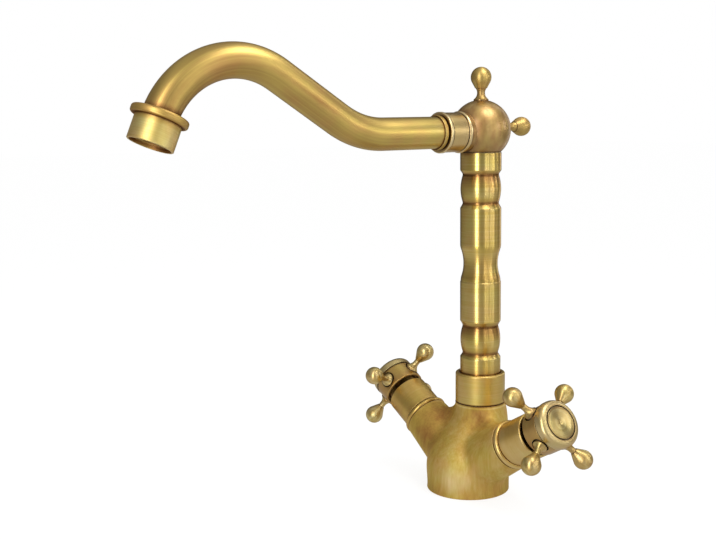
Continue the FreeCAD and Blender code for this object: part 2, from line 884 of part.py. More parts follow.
def fixed_disc():
    """Ceramic disc with two ports, keyed to the bonnet's skirt by two lugs."""
    lugs = block(2 * (skirt_radius - seated_clearance), disc_lug_width, fixed_disc_bottom, fixed_disc_top)
    lugs = lugs.common(rod(skirt_radius - seated_clearance, fixed_disc_bottom, fixed_disc_top))
    disc = rod(disc_radius, fixed_disc_bottom, fixed_disc_top).fuse(lugs).removeSplitter()
    return disc.cut(disc_ports(fixed_disc_bottom, fixed_disc_top, RIGHT_ANGLE))


def rotating_disc():
    """Ceramic disc that covers the ports when shut, with a slot for the spindle's key."""
    disc = rod(disc_radius, moving_disc_bottom, moving_disc_top)
    slot = block(disc_slot_width, 2 * disc_radius, moving_disc_top - disc_slot_depth,
                 moving_disc_top + cut_overrun)
    return disc.cut(disc_ports(moving_disc_bottom, moving_disc_top, 0)).cut(slot)


def bonnet():
    """Threaded valve body: slotted skirt round the discs, hexagon, and a neck for the spindle."""
    outside = turned([
        (0, valve_seat + skirt_lift), (skirt_radius, valve_seat + skirt_lift),
        (skirt_radius, valve_chamber_end), (bonnet_thread_radius, valve_chamber_end),
        (bonnet_thread_radius, hex_bottom), (0, hex_bottom)])
    outside = outside.multiFuse([hexagon(bonnet_hex_flats, hex_bottom, hex_top),
                                 rod(bonnet_neck_radius, hex_top, bonnet_end)])
    slot = block(2 * (skirt_radius + cut_overrun), disc_lug_width + 2 * seated_clearance,
                 valve_seat, spindle_flange_top)
    inside = rod(skirt_bore, valve_seat, skirt_ceiling).multiFuse(
        [rod(spindle_radius + running_clearance, valve_seat, bonnet_end + cut_overrun), slot])
    return outside.cut(inside).removeSplitter()


def bonnet_seal():
    inner = bonnet_thread_radius + running_clearance
    return ring(inner, inner + bonnet_seal_width, horn_mouth, hex_bottom)


def thrust_washer():
    return ring(spindle_radius + running_clearance, skirt_bore - seated_clearance, thrust_washer_bottom,
                skirt_ceiling)


def sleeve():
    """Turned cover that screws on the bonnet's neck, with a bead at its foot."""
    bead_top = sleeve_start + sleeve_bead_length
    line_top = bead_top + sleeve_line_length
    inner = sleeve_radius - sleeve_wall
    return turned([
        (inner, sleeve_start), (sleeve_radius, sleeve_start),
        (sleeve_bead_radius, sleeve_start + sleeve_bead_length / 2, sleeve_radius, bead_top),
        (sleeve_radius - sleeve_line_depth, bead_top), (sleeve_radius - sleeve_line_depth, line_top),
        (sleeve_radius, line_top), (sleeve_radius, sleeve_end - sleeve_edge_round),
        (sleeve_radius - sleeve_edge_round, sleeve_end), (inner, sleeve_end),
        (inner, hex_top + sleeve_web), (bonnet_neck_radius + seated_clearance, hex_top + sleeve_web),
        (bonnet_neck_radius + seated_clearance, hex_top), (inner, hex_top)])


# Spindle and handle on each horn

def spindle_seal_height():
    return hex_top + bonnet_neck_length * spindle_seal_share


def spindle():
    """Flanged stem with a key for the disc, a seal groove, a clip groove and a splined end."""
    stem = rod(spindle_flange_radius, spindle_flange_bottom, spindle_flange_top)
    key = block(disc_slot_width - 2 * seated_clearance, 2 * spindle_flange_radius,
                moving_disc_top - disc_slot_depth + running_film, spindle_flange_bottom)
    key = key.common(rod(spindle_flange_radius, valve_seat, spindle_flange_top))
    stem = stem.multiFuse([key, rod(spindle_radius, spindle_flange_top, hub_bore_start),
                           splined(spindle_radius, hub_bore_start, spindle_end)])
    clip_groove = ring(spindle_radius - spindle_clip_bite, spindle_radius + cut_overrun,
                       spindle_clip_bottom - seated_clearance, spindle_clip_top + seated_clearance)
    tapped = rod(handle_screw_radius + seated_clearance, screw_seat - handle_screw_length - cut_overrun,
                 spindle_end + cut_overrun)
    seal_groove = groove_for_seal(spindle_radius + running_clearance, spindle_seal_height())
    return stem.cut(clip_groove).cut(tapped).cut(seal_groove).removeSplitter()


def spindle_o_ring():
    return seal_ring(seal_middle(spindle_radius + running_clearance), spindle_seal_height())


def spindle_clip():
    inner = spindle_radius - spindle_clip_bite + seated_clearance
    gap = Part.makeBox(spindle_clip_gap, spindle_clip_radius, 2 * spindle_clip_thickness,
                       vec(-spindle_clip_gap / 2, 0, spindle_clip_bottom - spindle_clip_thickness / 2))
    return ring(inner, spindle_clip_radius, spindle_clip_bottom, spindle_clip_top).cut(gap)


def spoke_frame(shape, phase, index):
    """Point a shape built along Z out from the handle's axis."""
    placed = shape.copy()
    placed.rotate(CENTRE, Y_AXIS, RIGHT_ANGLE)
    placed.rotate(CENTRE, Z_AXIS, phase + index * FULL_TURN / spoke_count)
    placed.translate(vec(0, 0, spoke_plane))
    return placed


def spoke():
    """Turned arm: threaded shank, domed plug in its well, thin neck and a drop-shaped end."""
    root_radius = spoke_ball_radius * spoke_root_share
    length = spoke_ball_radius * spoke_drop_share
    plug_end = spoke_plug_floor + spoke_plug_land
    return turned([
        (0, spoke_plug_floor - spoke_shank_length),
        (spoke_shank_radius, spoke_plug_floor - spoke_shank_length),
        (spoke_shank_radius, spoke_plug_floor), (spoke_plug_radius, spoke_plug_floor),
        (spoke_plug_radius, plug_end),
        ((spoke_plug_radius + 3 * spoke_neck_radius) / 4, (plug_end + spoke_neck_reach) / 2,
         spoke_neck_radius, spoke_neck_reach),
        (spoke_neck_radius, spoke_reach - length),
        *drop_outline(spoke_ball_radius, spoke_reach, root_radius, length)])


def handle_hub(phase):
    """Turned boss: hollow back, wells for the arms, fluted bore, and a bevelled face ring."""
    bevel_start = hub_face - hub_bevel_height
    outside = turned([
        (0, hub_start), (hub_radius - hub_edge_round, hub_start), (hub_radius, hub_start + hub_edge_round),
        (hub_radius, hub_start + hub_length), (hub_radius - hub_line_depth, hub_start + hub_length),
        (hub_radius - hub_line_depth, hub_ring_start), (hub_ring_radius, hub_ring_start),
        (hub_ring_radius, bevel_start),
        (hub_ring_radius - (hub_ring_radius - hub_face_radius) * arc_drop_share,
         bevel_start + hub_bevel_height / 2 + hub_bevel_height * arc_drop_share / 2,
         hub_face_radius, hub_face),
        (0, hub_face)])
    cuts = [rod(hub_radius - hub_back_wall, hub_start - cut_overrun, hub_bore_start),
            splined(spindle_radius + seated_clearance, hub_start, spindle_end + running_film),
            rod(handle_screw_radius + running_clearance, spindle_end, screw_seat + cut_overrun),
            rod(handle_screw_head_radius + seated_clearance, screw_seat, cap_floor + cut_overrun),
            rod(cap_radius + cap_groove, cap_floor, hub_face + cut_overrun)]
    shank_start = spoke_plug_floor - spoke_shank_length
    for k in range(spoke_count):
        well = rod(spoke_well_radius, spoke_plug_floor, hub_radius + cut_overrun)
        thread = rod(spoke_shank_radius + seated_clearance, shank_start, spoke_plug_floor + cut_overrun)
        cuts += [spoke_frame(well, phase, k), spoke_frame(thread, phase, k)]
    for cut in cuts:
        outside = outside.cut(cut)
    return outside


def handle_spokes(phase):
    return Part.makeCompound([spoke_frame(spoke(), phase, k) for k in range(spoke_count)])


def index_cap():
    """Turned cap that hides the screw, dished, with a small dimple in the middle."""
    return turned([
        (0, cap_floor), (cap_radius, cap_floor), (cap_radius, hub_face), (cap_dish_radius, hub_face),
        (cap_dish_radius / 2, hub_face - cap_dish * (1 - arc_drop_share),
         cap_dimple_radius, hub_face - cap_dish),
        (0, hub_face - cap_dish - cap_dimple_depth)])


def handle_screw():
    head_top = screw_seat + handle_screw_head_height
    screw = rod(handle_screw_head_radius, screw_seat, head_top).fuse(
        rod(handle_screw_radius, screw_seat - handle_screw_length, screw_seat))
    slot = block(2 * handle_screw_head_radius, handle_screw_slot_width, head_top - handle_screw_slot_depth,
                 head_top + cut_overrun)
    return screw.cut(slot)


# Write every piece

os.makedirs("parts", exist_ok=True)
save("body_casting", body_casting())
save("base_gasket", gasket_ring(gasket_depth))
save("swivel_collar", swivel_collar())
save("collar_set_screw", collar_set_screw())
save("column_glide_washer", column_glide_washer())
save("riser_column", riser_column())
save("column_o_rings", column_o_rings())
save("column_retaining_ring", column_retaining_ring())
save("elbow", elbow())
save("elbow_o_ring", elbow_o_ring())
save("top_finial", top_finial())
save("rear_finial", rear_finial())
save("spout_tube", spout_tube())
save("tube_o_ring", tube_o_ring())
save("spout_lock_ring", spout_lock_ring())
save("outlet_flange", outlet_flange())
save("aerator_housing", aerator_housing())
save("aerator_washer", aerator_washer())
save("aerator_insert", aerator_insert())
save("aerator_screen", aerator_screen())

spoke_phases = {"hot": hot_spoke_phase, "cold": cold_spoke_phase}
for name, side in SIDES.items():
    phase = spoke_phases[name]
    pieces = {
        "seat_seal": seat_seal(), "fixed_disc": fixed_disc(), "rotating_disc": rotating_disc(),
        "bonnet": bonnet(), "bonnet_seal": bonnet_seal(), "thrust_washer": thrust_washer(),
        "sleeve": sleeve(), "spindle": spindle(), "spindle_o_ring": spindle_o_ring(),
        "spindle_clip": spindle_clip(), "handle_hub": handle_hub(phase),
        "handle_spokes": handle_spokes(phase), "index_cap": index_cap(), "handle_screw": handle_screw(),
    }
    for piece, shape in pieces.items():
        save(name + "_" + piece, on_horn(shape, side))
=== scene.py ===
import json
import math

import bpy
from mathutils import Matrix, Vector


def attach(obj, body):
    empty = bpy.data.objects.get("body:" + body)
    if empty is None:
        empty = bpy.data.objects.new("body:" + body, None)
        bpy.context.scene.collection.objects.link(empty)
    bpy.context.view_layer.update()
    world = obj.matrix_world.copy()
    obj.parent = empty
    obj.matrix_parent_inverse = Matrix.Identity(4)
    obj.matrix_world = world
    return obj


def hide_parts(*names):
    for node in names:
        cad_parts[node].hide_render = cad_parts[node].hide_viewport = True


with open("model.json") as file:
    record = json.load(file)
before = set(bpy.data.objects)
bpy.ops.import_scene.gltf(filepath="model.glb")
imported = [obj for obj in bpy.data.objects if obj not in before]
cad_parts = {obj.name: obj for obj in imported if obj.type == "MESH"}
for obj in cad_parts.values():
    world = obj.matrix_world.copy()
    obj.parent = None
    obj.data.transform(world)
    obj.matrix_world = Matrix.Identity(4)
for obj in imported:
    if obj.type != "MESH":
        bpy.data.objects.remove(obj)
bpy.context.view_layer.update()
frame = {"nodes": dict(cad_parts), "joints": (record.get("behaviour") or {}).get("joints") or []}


# Body casting
# One brass casting carries the faucet, with a foot on the deck, a horn for each valve and a neck on top.
# It is ground smooth, brushed by hand and darkened, with brown patina and painted shade where the brush
# can't reach.


class Value:
    """One socket in a node tree. Sums and products of values add Math nodes."""

    def __init__(self, tree, socket=None):
        self.tree = tree
        self.socket = socket

    def make(self, kind, settings=None, inputs=None, out=0):
        """Add a node: its settings first, then the values or links of its sockets."""
        node = self.tree.nodes.new(kind)
        for name, setting in (settings or {}).items():
            if name == "stops":
                for place, colour in setting[2:]:
                    node.color_ramp.elements.new(place)
                for element, (place, colour) in zip(node.color_ramp.elements, sorted(setting)):
                    element.position = place
                    element.color = (*colour, 1)
            else:
                setattr(node, name, setting)
        shown = [socket for socket in node.inputs if socket.enabled]
        for name, value in (inputs or {}).items():
            if isinstance(name, int):
                socket = node.inputs[name]
            else:
                socket = next(each for each in shown if each.name == name)
            if isinstance(value, Value):
                self.tree.links.new(value.socket, socket)
            else:
                socket.default_value = value
        if out is None:
            return None
        ends = [socket for socket in node.outputs if socket.enabled]
        if isinstance(out, str):
            return Value(self.tree, next(socket for socket in ends if socket.name == out))
        return Value(self.tree, ends[out])

    def math(self, operation, *values, clamp=False):
        settings = {"operation": operation, "use_clamp": clamp}
        return self.make("ShaderNodeMath", settings, dict(enumerate(values)))

    def __add__(self, other):
        return self.math("ADD", self, other)

    def __sub__(self, other):
        return self.math("SUBTRACT", self, other)

    def __rsub__(self, other):
        return self.math("SUBTRACT", other, self)

    def __mul__(self, other):
        return self.math("MULTIPLY", self, other)

    def __truediv__(self, other):
        return self.math("DIVIDE", self, other)

    __radd__ = __add__
    __rmul__ = __mul__


def srgb(red, green, blue):
    """A colour as it shows on a screen, in the linear values that shaders take."""
    shares = [level / 255 for level in (red, green, blue)]
    return tuple(share / 12.92 if share <= 0.04045 else ((share + 0.055) / 1.055) ** 2.4 for share in shares)


def start_finish(name):
    """An empty material, and the value that its nodes are made from."""
    material = bpy.data.materials.new(name)
    material.use_nodes = True
    material.node_tree.nodes.clear()
    return material, Value(material.node_tree)


def end_finish(root, shader):
    """Join a shader to its material's output."""
    root.make("ShaderNodeOutputMaterial", {}, {"Surface": shader}, None)


def dress(material, *names):
    """Give carried-over pieces their finish."""
    for name in names:
        slots = frame["nodes"][name].data.materials
        slots.clear()
        slots.append(material)


def piece_coordinates(root, centre=(0, 0, 0), turn=(0, 0, 0)):
    """Object coordinates from a piece's own centre, with Z along its axis."""
    place = root.make("ShaderNodeTexCoord", out="Object")
    return root.make("ShaderNodeMapping", {"vector_type": "TEXTURE"},
                     {"Vector": place, "Location": centre, "Rotation": turn})


def noise(root, vector, grains=(1, 1, 1), detail=2.0):
    """Noise with so many grains to the vector's unit along each axis."""
    scaled = root.make("ShaderNodeVectorMath", {"operation": "MULTIPLY"}, {0: vector, 1: grains})
    return root.make("ShaderNodeTexNoise", {}, {"Vector": scaled, "Scale": 1.0, "Detail": detail})


def hollows(root, reach):
    """1 in seams and corners narrower than the reach, 0 in the open."""
    return 1 - root.make("ShaderNodeAmbientOcclusion", {"samples": 8}, {"Distance": reach}, "AO")


SPOT_GAIN = 1.3
SPOT_ROUNDING = 0.4


def spots(root, place, *table):
    """Soft round spots. Each is a centre, a radius and a depth, gone at the radius."""
    total = 0
    for centre, radius, depth in table:
        distance = root.make("ShaderNodeVectorMath", {"operation": "DISTANCE"},
                             {0: place, 1: centre}, "Value")
        near = root.math("SUBTRACT", 1.0, distance / radius, clamp=True)
        total = total + root.math("SMOOTH_MIN", near * SPOT_GAIN, 1.0, SPOT_ROUNDING) * depth
    return total


def stripes(root, height, *table):
    """Soft stripes across an axis. Each is a middle, half a width and a depth, gone at half the width."""
    total = 0
    for middle, half, depth in table:
        away = root.math("ABSOLUTE", height - middle)
        total = total + root.math("SUBTRACT", 1.0, away / half, clamp=True) * depth
    return total


def weathered_and_shaded(root, lines, clouds=None, *, lightness, line_depth, cloud_depth=0.0, reach, brown):
    """How far brass is rubbed, by its lines and clouds. Seams narrower than the reach get brown patina and
    painted shade.
    """
    shade = lightness + (lines - 0.5) * line_depth
    if clouds is not None:
        shade = shade + (clouds - 0.5) * cloud_depth
    # Seams and corners get darker: brown patina and painted shade.
    return shade - hollows(root, reach) * brown


DEEP_BROWN = srgb(66, 39, 16)
BROWN = srgb(168, 121, 66)
GOLD = srgb(212, 180, 96)
RUBBED_GOLD = srgb(246, 228, 172)
PALE_BRASS = srgb(198, 182, 146)
OLIVE_TINT = (0.95, 1.0, 0.82)
COPPER_TINT = (1.0, 0.93, 0.88)
GRAZING_TINT = (0.6, 0.5, 0.38, 1)
FINE_EDGE = 0.0005
EDGE_RUB_AND_GLINT = 2.0
COAT_GAIN = 2.2
TARNISH_GRAINS = (80, 80, 80)


def antique_brass(root, shade, grain, roughness, bump, spread=0.0, turn=0.0, coat=0.8, coat_roughness=0.24,
                  edges=True, warmth=0.0, pale=0.0):
    """Brass from deep brown at shade 0 to rubbed gold at 1, with brush lines, and edges lighter as wear and
    painted highlight.

    spread and turn draw its lights out, warmth leans it from olive to copper, and pale to grey gold.
    """
    relief = {"Strength": bump, "Distance": FINE_EDGE, "Height": grain}
    if edges:
        relief["Normal"] = root.make("ShaderNodeBevel", {"samples": 6}, {"Radius": FINE_EDGE})
        flat = root.make("ShaderNodeNewGeometry", out="Normal")
        facing = root.make("ShaderNodeVectorMath", {"operation": "DOT_PRODUCT"},
                           {0: relief["Normal"], 1: flat}, "Value")
        # Edges are painted lighter: partly rubbed wear, partly painted highlight.
        shade = shade + (1 - facing) * EDGE_RUB_AND_GLINT
    colour = root.make("ShaderNodeValToRGB",
                       {"stops": ((0.0, DEEP_BROWN), (1.0, RUBBED_GOLD), (0.3, BROWN), (0.62, GOLD))},
                       {"Fac": shade}, "Color")
    tarnish = noise(root, piece_coordinates(root), TARNISH_GRAINS) + warmth
    tint = root.make("ShaderNodeValToRGB", {"stops": ((0.35, OLIVE_TINT), (0.65, COPPER_TINT))},
                     {"Fac": tarnish}, "Color")
    colour = root.make("ShaderNodeMix", {"data_type": "RGBA", "blend_type": "MULTIPLY"},
                       {"Factor": 1.0, "A": colour, "B": tint}, "Result")
    colour = root.make("ShaderNodeMix", {"data_type": "RGBA"},
                       {"Factor": pale, "A": colour, "B": (*PALE_BRASS, 1)}, "Result")
    rubbed = root.math("MULTIPLY", shade, COAT_GAIN, clamp=True)
    normal = root.make("ShaderNodeBump", {}, relief)
    end_finish(root, root.make(
        "ShaderNodeBsdfPrincipled", {},
        {"Base Color": colour, "Metallic": 1.0, "Roughness": roughness, "Normal": normal,
         "Anisotropic": spread, "Anisotropic Rotation": turn, "Specular Tint": GRAZING_TINT,
         "Coat Weight": rubbed * coat, "Coat Roughness": coat_roughness}))


COLLAR_SEAT = 0.0529
BRUSH_SLANT = (0.2, 0.15, 0)
BROWN_SPOTS = (
    ((-0.018, 0.0, 0.044), 0.013, 0.22),
    ((0.011, -0.001, 0.047), 0.011, 0.3),
    ((-0.017, -0.016, 0.027), 0.013, 0.16),
    ((-0.026, -0.012, 0.036), 0.018, 0.14))
# A painted highlight low on the front of the foot.
PAINTED_HIGHLIGHT_SPOT = ((0.013, -0.022, 0.009), 0.012, 0.2)
# Painted shade in the seam under the collar.
SHADE_UNDER_COLLAR = (COLLAR_SEAT, 0.0011, 0.8)
# A painted highlight along the neck's rim just below the collar.
PAINTED_HIGHLIGHT_RIM = (0.0512, 0.0008, 0.2)

casting_finish, root = start_finish("brushed_casting")
place = piece_coordinates(root)
height = root.make("ShaderNodeSeparateXYZ", {}, {0: place}, "Z")
slanted = piece_coordinates(root, turn=BRUSH_SLANT)
fine_lines = noise(root, slanted, (900, 900, 30), detail=1.0)
coarse_lines = noise(root, slanted, (260, 260, 20))
brush_lines = fine_lines * 0.4 + coarse_lines * 0.6
clouds = noise(root, place, (45, 45, 45), detail=3.0)
shade = (weathered_and_shaded(root, brush_lines, clouds, lightness=0.67, line_depth=0.5, cloud_depth=0.35,
                   reach=0.012, brown=0.3)
         - spots(root, place, *BROWN_SPOTS) + spots(root, place, PAINTED_HIGHLIGHT_SPOT)
         - stripes(root, height, SHADE_UNDER_COLLAR) + stripes(root, height, PAINTED_HIGHLIGHT_RIM))
antique_brass(root, shade, brush_lines, roughness=0.74 - shade * 0.1, bump=0.06, coat=0.25,
              coat_roughness=0.45)
dress(casting_finish, "body_casting")


# Seals
# Black rubber rings: the gasket let into the foot, and the seals round the column, tube, valves and outlet.
# They are moulded, sit in their grooves and hardly show.

RUBBER_BLACK = srgb(24, 24, 24)
RUBBER_GRAINS = (2500, 2500, 2500)
SIDES = ("hot", "cold")

rubber_finish, root = start_finish("seal_rubber")
specks = noise(root, piece_coordinates(root), RUBBER_GRAINS)
normal = root.make("ShaderNodeBump", {}, {"Strength": 0.15, "Distance": FINE_EDGE, "Height": specks})
end_finish(root, root.make(
    "ShaderNodeBsdfPrincipled", {},
    {"Base Color": (*RUBBER_BLACK, 1), "Roughness": 0.55 + specks * 0.2, "Normal": normal}))
dress(rubber_finish, "base_gasket", "column_o_rings", "elbow_o_ring", "tube_o_ring", "aerator_washer",
      *[side + piece for side in SIDES for piece in ("_seat_seal", "_bonnet_seal", "_spindle_o_ring")])


# Valve insides
# Brass bonnets and spindles that screw into the horns, with ceramic discs, plastic washers and steel clips.
# They hardly show. The washer and ring at the column's foot, and what is in the aerator, are dressed alike.

WELL_REACH = 0.01
WELL_SHADE = 0.1


def plain_finish(name, colour, metallic, roughness, grains, depth):
    """A machined or moulded surface with fine marks, and painted shade in its corners."""
    material, root = start_finish(name)
    marks = noise(root, piece_coordinates(root), grains)
    shaded_in_wells = tuple(level * WELL_SHADE for level in colour)
    marked = tuple(level * (1 - depth) for level in colour)
    # The hollows mask gives the corners painted shade.
    tone = root.make("ShaderNodeValToRGB", {"stops": ((0.0, shaded_in_wells), (0.7, colour), (0.3, marked))},
                     {"Fac": marks - hollows(root, WELL_REACH) * 0.9}, "Color")
    normal = root.make("ShaderNodeBump", {}, {"Strength": 0.08, "Distance": FINE_EDGE, "Height": marks})
    end_finish(root, root.make(
        "ShaderNodeBsdfPrincipled", {},
        {"Base Color": tone, "Metallic": metallic, "Roughness": roughness + marks * 0.1, "Normal": normal}))
    return material


machined_brass = plain_finish("machined_brass", srgb(200, 168, 96), metallic=1.0, roughness=0.25,
                              grains=(400, 400, 3000), depth=0.3)
disc_ceramic = plain_finish("disc_ceramic", srgb(232, 230, 224), metallic=0.0, roughness=0.12,
                            grains=(600, 600, 600), depth=0.05)
washer_plastic = plain_finish("washer_plastic", srgb(226, 226, 222), metallic=0.0, roughness=0.4,
                              grains=(900, 900, 900), depth=0.08)
clip_steel = plain_finish("clip_steel", srgb(188, 186, 180), metallic=1.0, roughness=0.25,
                          grains=(2500, 300, 300), depth=0.25)
for side in SIDES:
    dress(machined_brass, side + "_bonnet", side + "_spindle")
    dress(disc_ceramic, side + "_fixed_disc", side + "_rotating_disc")
    dress(washer_plastic, side + "_thrust_washer")
    dress(clip_steel, side + "_spindle_clip", side + "_handle_screw")
dress(washer_plastic, "column_glide_washer", "aerator_insert")
dress(clip_steel, "column_retaining_ring", "collar_set_screw", "aerator_screen")


# Sleeves
# Turned brass tubes that hide the bonnets, each with a bead where it meets the horn.
# They screw on the bonnets' necks and are brushed on the lathe, so their lines run round.

# The two sleeves differ only in lightness: lit and shaded copies of one finish, the cold one painted
# lighter.
SLEEVE_PAINTED_LIGHTNESS = {"hot": 0.62, "cold": 0.74}
SLEEVE_SPOT = ((-0.006, -0.0115, -0.0165), 0.011, 0.16)
GRAINS_ROUND = 50


def joint_of(name):
    """One of the part's joints, by its name."""
    return next(joint for joint in frame["joints"] if joint["name"] == name)


def horn_turn(side):
    """Place on a horn's axis, and the turn that brings Z along it."""
    joint = joint_of(side + "_handle_turn")
    outward = Vector(joint["axis"]) * (1 if joint["axis"][2] > 0 else -1)
    return tuple(joint["pos_m"]), (0, math.atan2(outward.x, outward.z), 0)


def round_parts(root, place):
    """Distance from the axis, angle round it and height along it."""
    x, y, height = (root.make("ShaderNodeSeparateXYZ", {}, {0: place}, axis) for axis in "XYZ")
    flat = root.make("ShaderNodeVectorMath", {"operation": "MULTIPLY"}, {0: place, 1: (1, 1, 0)})
    distance = root.make("ShaderNodeVectorMath", {"operation": "LENGTH"}, {0: flat}, "Value")
    return distance, root.math("ARCTAN2", y, x), height


def turned_lines(root, place, spacing, detail=2.0):
    """Lathe lines: fine along the axis and outward, long round it."""
    distance, angle, height = round_parts(root, place)
    slow = root.make("ShaderNodeSeparateXYZ", {}, {0: place}, "X") * GRAINS_ROUND
    point = root.make("ShaderNodeCombineXYZ", {}, {0: distance / spacing, 1: slow, 2: height / spacing})
    return noise(root, point, detail=detail)


for side in SIDES:
    sleeve_finish, root = start_finish(side + "_turned_sleeve")
    place = piece_coordinates(root, *horn_turn(side))
    lathe_lines = turned_lines(root, place, spacing=0.0004)
    clouds = noise(root, place, (90, 90, 90), detail=3.0)
    shade = weathered_and_shaded(root, lathe_lines, clouds, lightness=SLEEVE_PAINTED_LIGHTNESS[side], line_depth=0.15,
                      cloud_depth=0.35, reach=0.005, brown=0.9) - spots(root, place, SLEEVE_SPOT)
    antique_brass(root, shade, lathe_lines, roughness=0.44 - shade * 0.1, bump=0.1, coat=0.5, warmth=0.15)
    dress(sleeve_finish, side + "_sleeve")


# Handles
# Each cross handle is a turned hub on the splined spindle, with four screwed arms, and a cap over its screw.
# Hub and cap are brushed on the lathe and the arms lengthwise. Brown patina and painted shade darken wells
# and round the cap.

QUARTER_TURN = 0.25
HUB_FACE = 0.0055
FACE_LIGHT = 0.26
FACE_PALE = 0.364
CAP_RADIUS = 0.0093
CAP_GROOVE = 0.00075
# Brown patina and painted shade round the cap's groove, on the cap's rim and the hub's face.
GROOVE_STAIN_AND_SHADE = 0.0009
STAIN_AND_SHADE_DEPTH = 0.5
# The hot handle's arms are painted lighter than the cold's: lit and shaded copies of one finish.
ARM_PAINTED_LIGHTNESS = {"hot": 0.74, "cold": 0.64}
GRAINS_ALONG_ARM = 40
GRAINS_BETWEEN_ARMS = 16
GRAINS_ACROSS_ARM = 600

for side in SIDES:
    hub_finish, root = start_finish(side + "_turned_hub")
    place = piece_coordinates(root, *horn_turn(side))
    distance, angle, height = round_parts(root, place)
    lathe_lines = turned_lines(root, place, spacing=0.0005)
    clouds = noise(root, place, (110, 110, 110), detail=3.0)
    on_face = root.math("GREATER_THAN", height, HUB_FACE)
    # Brown patina and painted shade round the cap's groove.
    stain_and_shade = stripes(root, distance, (CAP_RADIUS + CAP_GROOVE, GROOVE_STAIN_AND_SHADE, STAIN_AND_SHADE_DEPTH))
    shade = weathered_and_shaded(root, lathe_lines, clouds, lightness=0.46, line_depth=0.2, cloud_depth=0.3,
                      reach=0.004, brown=0.8) + on_face * FACE_LIGHT - stain_and_shade
    antique_brass(root, shade, lathe_lines, roughness=0.46 - shade * 0.14, bump=0.04,
                  pale=on_face * FACE_PALE)
    dress(hub_finish, side + "_handle_hub")

    cap_finish, root = start_finish(side + "_turned_cap")
    place = piece_coordinates(root, *horn_turn(side))
    distance, angle, height = round_parts(root, place)
    face_lines = turned_lines(root, place, spacing=0.0008)
    # Brown patina and painted shade round the cap's groove.
    stain_and_shade = stripes(root, distance, (CAP_RADIUS, GROOVE_STAIN_AND_SHADE, STAIN_AND_SHADE_DEPTH))
    shade = weathered_and_shaded(root, face_lines, lightness=0.7, line_depth=0.7, reach=0.003, brown=0.8) - stain_and_shade
    antique_brass(root, shade, face_lines, roughness=0.33, bump=0.06, spread=0.92, turn=QUARTER_TURN,
                  coat=0.4, pale=0.3)
    dress(cap_finish, side + "_index_cap")

    arm_finish, root = start_finish(side + "_brushed_arms")
    place = piece_coordinates(root, *horn_turn(side))
    distance, angle, height = round_parts(root, place)
    point = root.make("ShaderNodeCombineXYZ", {}, {0: distance * GRAINS_ALONG_ARM,
                                                   1: angle * GRAINS_BETWEEN_ARMS,
                                                   2: height * GRAINS_ACROSS_ARM})
    long_lines = noise(root, point)
    shade = weathered_and_shaded(root, long_lines, lightness=ARM_PAINTED_LIGHTNESS[side], line_depth=0.9,
                      reach=0.005, brown=1.2)
    antique_brass(root, shade, long_lines, roughness=0.46 - shade * 0.1, bump=0.01, spread=0.7,
                  turn=QUARTER_TURN, coat=0.6, coat_roughness=0.32, edges=False, pale=0.2)
    dress(arm_finish, side + "_handle_spokes")


# Swivel collar
# A turned brass nut that screws down over the casting's spigot and traps the column.
# It is brushed round on the lathe and left satin, with painted shade in the seam under it.

# Painted shade in the seam under the collar.
COLLAR_SEAM_SHADE = (COLLAR_SEAT, 0.0007, 0.8)

column_centre = (0, joint_of("spout_swivel")["pos_m"][1], 0)
collar_finish, root = start_finish("satin_collar")
place = piece_coordinates(root, column_centre)
distance, angle, height = round_parts(root, place)
lathe_lines = turned_lines(root, place, spacing=0.0008)
clouds = noise(root, place, (60, 60, 60), detail=3.0)
shade = weathered_and_shaded(root, lathe_lines, clouds, lightness=0.64, line_depth=0.2, cloud_depth=0.25,
                  reach=0.002, brown=0.9) - stripes(root, height, COLLAR_SEAM_SHADE)
antique_brass(root, shade, lathe_lines, roughness=0.5 - shade * 0.1, bump=0.05)
dress(collar_finish, "swivel_collar")


# Column
# A brass tube turned from bar, with rings, beads, barrels and a waist, which stands in the casting's neck.
# Lathe brushing draws lights out along its height. Beads are browner, with painted shade in the grooves by
# them.

# Darker bands: painted shade in the grooves at the beads' ends, a browner tone over the beads and at the
# waist.
BROWN_AND_SHADE_BANDS = (
    (0.0831, 0.0016, 0.345), (0.0845, 0.0030, 0.1725), (0.0975, 0.0060, 0.299), (0.0998, 0.0014, 0.345),
    (0.1740, 0.0016, 0.345), (0.1754, 0.0030, 0.1725), (0.1885, 0.0060, 0.299), (0.1909, 0.0014, 0.345),
    (0.1300, 0.0030, 0.138))

column_finish, root = start_finish("turned_column")
place = piece_coordinates(root, column_centre)
distance, angle, height = round_parts(root, place)
lathe_lines = turned_lines(root, place, spacing=0.0005)
clouds = noise(root, place, (90, 90, 30), detail=3.0)
shade = weathered_and_shaded(root, lathe_lines, clouds, lightness=0.66, line_depth=0.3, cloud_depth=0.25,
                  reach=0.005, brown=1.0) - stripes(root, height, *BROWN_AND_SHADE_BANDS)
antique_brass(root, shade, lathe_lines, roughness=0.37 - shade * 0.08, bump=0.02, spread=0.8,
              turn=QUARTER_TURN, coat=0.6)
dress(column_finish, "riser_column")


# Elbow and finials
# A hollow cast ball on the column, with a turned socket for the spout and knobs screwed in above and behind.
# The ball is brushed by hand and browner than the rest. The knobs are turned, with lights along them.

SOCKET_HEIGHT = 0.21615
REAR_KNOB_HEIGHT = 0.21865
SOCKET_SEAM = 0.0162
# The socket is painted lighter than the ball, standing in for its highlight.
SOCKET_PAINTED_LIGHT = 0.28
# Lighter rings on the socket's bead and rim: rubbed wear and painted highlight.
RUBBED_AND_LIT_RINGS = ((0.0175, 0.0015, 0.3), (0.0318, 0.0013, 0.35))
# Painted shade in the grooves beside them.
SHADED_GROOVE_RINGS = ((0.01905, 0.0007, 0.4), (0.03055, 0.0007, 0.4))

